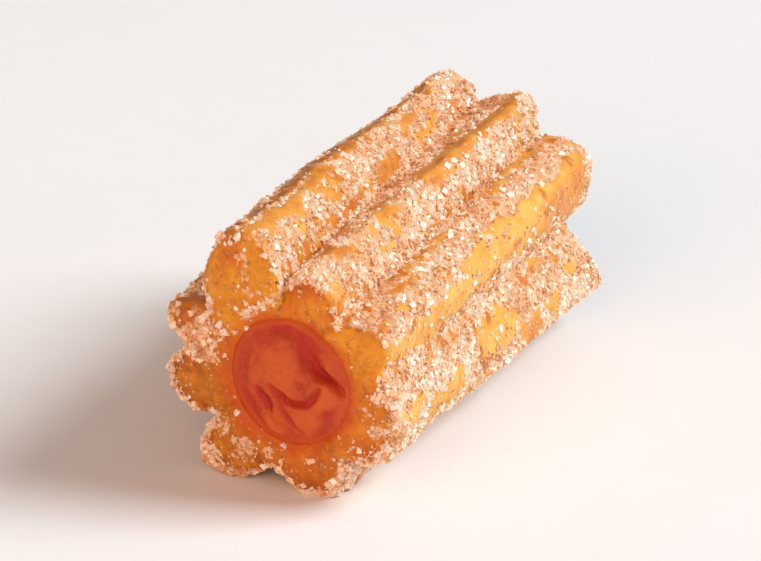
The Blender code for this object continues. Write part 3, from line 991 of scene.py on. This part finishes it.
sugarFinishes = {
    "fine_sugar": {
        "Common": (0.94, 0.60, 0.39), "Pale": (0.97, 0.73, 0.53), "Dusted": (0.84, 0.45, 0.22),
        "Pale_Share": 0.25, "Dusted_Share": 0.20, "roughness": 0.42,
    },
    "spiced_sugar": {
        "Common": (0.87, 0.48, 0.27), "Pale": (0.94, 0.62, 0.40), "Dusted": (0.62, 0.27, 0.11),
        "Pale_Share": 0.25, "Dusted_Share": 0.25, "roughness": 0.50,
    },
    "coarse_sugar": {
        "Common": (0.96, 0.66, 0.46), "Pale": (1.0, 0.83, 0.66), "Dusted": (0.88, 0.48, 0.25),
        "Pale_Share": 0.22, "Dusted_Share": 0.18, "roughness": 0.28,
    },
    "clear_sugar": {
        "Common": (0.99, 0.76, 0.57), "Pale": (1.0, 0.90, 0.78), "Dusted": (0.95, 0.60, 0.37),
        "Pale_Share": 0.28, "Dusted_Share": 0.28, "roughness": 0.14,
    },
    "cinnamon_specks": {
        "Common": (0.10, 0.028, 0.013), "Pale": (0.30, 0.092, 0.035), "Dusted": (0.040, 0.017, 0.012),
        "Pale_Share": 0.35, "Dusted_Share": 0.32, "roughness": 0.6,
    },
}


def finishSugar(name):
    look = dict(sugarFinishes[name])
    soft = 0.0 if name == "cinnamon_specks" else 0.25
    material, tree, shader = newMaterial(
        name + "_crystals", Roughness=look.pop("roughness"), Subsurface_Weight=soft,
        Subsurface_Scale=0.4 * mm, Subsurface_Radius=(1.0, 0.7, 0.5), Specular_IOR_Level=0.55,
    )
    tone = useGroup(tree, grainTone, Tone=attribute(tree, "tone"), **look)
    link(tree, tone.outputs["Color"], shader.inputs["Base Color"])
    return material


dough.data.materials.append(finishDough())
filling.data.materials.append(finishFilling())
for name, piece in grains.items():
    piece.data.materials.append(finishSugar(name))
print("finishes made")


# ---- floor, lights and camera

studio = {
    "floor": (0.885, 0.885, 0.895),
    "air": 0.25,
    "keyPower": 45.0, "keySize": 0.90, "keyColour": (0.91, 0.975, 1.0),
    "keyFrom": (1.0, 0.06, 0.78),  # to the right of the view, away from the camera, up
    "fillPower": 4.3, "fillSize": 0.65, "fillColour": (1.0, 0.56, 0.34),  # warm, as off other pastry
    "fillFrom": (-0.45, -1.0, 0.50),
    "viewAngle": 64.8,  # of the churro's length from the picture's width, towards the distance
    "viewHeight": 23.5,
    "distance": 0.75,
    "pixelsToMm": 11.2,
    "frameWide": 761,
}


def viewAxes():
    turn, rise = math.radians(studio["viewAngle"]), math.radians(studio["viewHeight"])
    right = Vector((math.cos(turn), -math.sin(turn), 0))
    level = Vector((math.sin(turn), math.cos(turn), 0))
    forward = level * math.cos(rise) - Vector((0, 0, math.sin(rise)))
    return right, level, forward


def makeFloor():
    floor = makeMesh("floor", np.array([(-3, -3, 0), (3, -3, 0), (3, 3, 0), (-3, 3, 0)], float),
                     np.array([(0, 1, 2, 3)]), False)
    material, tree, shader = newMaterial("pale_floor", Roughness=0.8, Specular_IOR_Level=0.2)
    shade = useGroup(tree, mottle, Pale=studio["floor"], Deep=tuple(0.985 * c for c in studio["floor"]),
                     Patch_Scale=25.0, Fine_Scale=300.0, Contrast=1.0)
    link(tree, shade.outputs["Color"], shader.inputs["Base Color"])
    floor.data.materials.append(material)


def makeLamp(name, direction, distance, size, power, colour, target):
    lamp = bpy.data.lights.new(name, "AREA")
    lamp.size, lamp.energy, lamp.color = size, power, colour
    thing = bpy.data.objects.new(name, lamp)
    bpy.context.scene.collection.objects.link(thing)
    direction = direction.normalized()
    thing.location = target + direction * distance
    thing.rotation_euler = direction.to_track_quat("Z", "Y").to_euler()


def makeStudio():
    scene = bpy.context.scene
    right, level, forward = viewAxes()
    target = Vector((*modelShift[:2], churroShape["axisHeight"]))
    up = Vector((0, 0, 1))
    keyFrom, fillFrom = (sum((axis * part for axis, part in zip((right, level, up), studio[name])), Vector())
                         for name in ("keyFrom", "fillFrom"))
    makeLamp("key", keyFrom, 2.0, studio["keySize"], studio["keyPower"], studio["keyColour"], target)
    makeLamp("fill", fillFrom, 0.8, studio["fillSize"], studio["fillPower"], studio["fillColour"], target)
    world = bpy.data.worlds.new("studio_air")
    world.use_nodes = True
    world.node_tree.nodes["Background"].inputs["Color"].default_value = (1.0, 1.0, 1.0, 1.0)
    world.node_tree.nodes["Background"].inputs["Strength"].default_value = studio["air"]
    scene.world = world
    scene.view_settings.view_transform = "Standard"
    camera = bpy.data.cameras.new("camera")
    camera.sensor_width = 36.0
    camera.lens = camera.sensor_width * studio["pixelsToMm"] / mm * studio["distance"] / studio["frameWide"]
    camera.clip_start = 0.01
    eye = bpy.data.objects.new("camera", camera)
    scene.collection.objects.link(eye)
    above = right.cross(forward)
    turn = Matrix((right, above, -forward)).transposed().to_4x4()
    turn.translation = target - forward * studio["distance"]
    eye.matrix_world = turn
    scene.camera = eye


makeFloor()
makeStudio()
print("studio set")

for piece, slot in ((dough, "sugared_dough"), (filling, "orange_filling")):
    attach(piece, "root")
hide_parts("dough")
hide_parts("filling")
for piece in grains.values():
    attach(piece, "root")
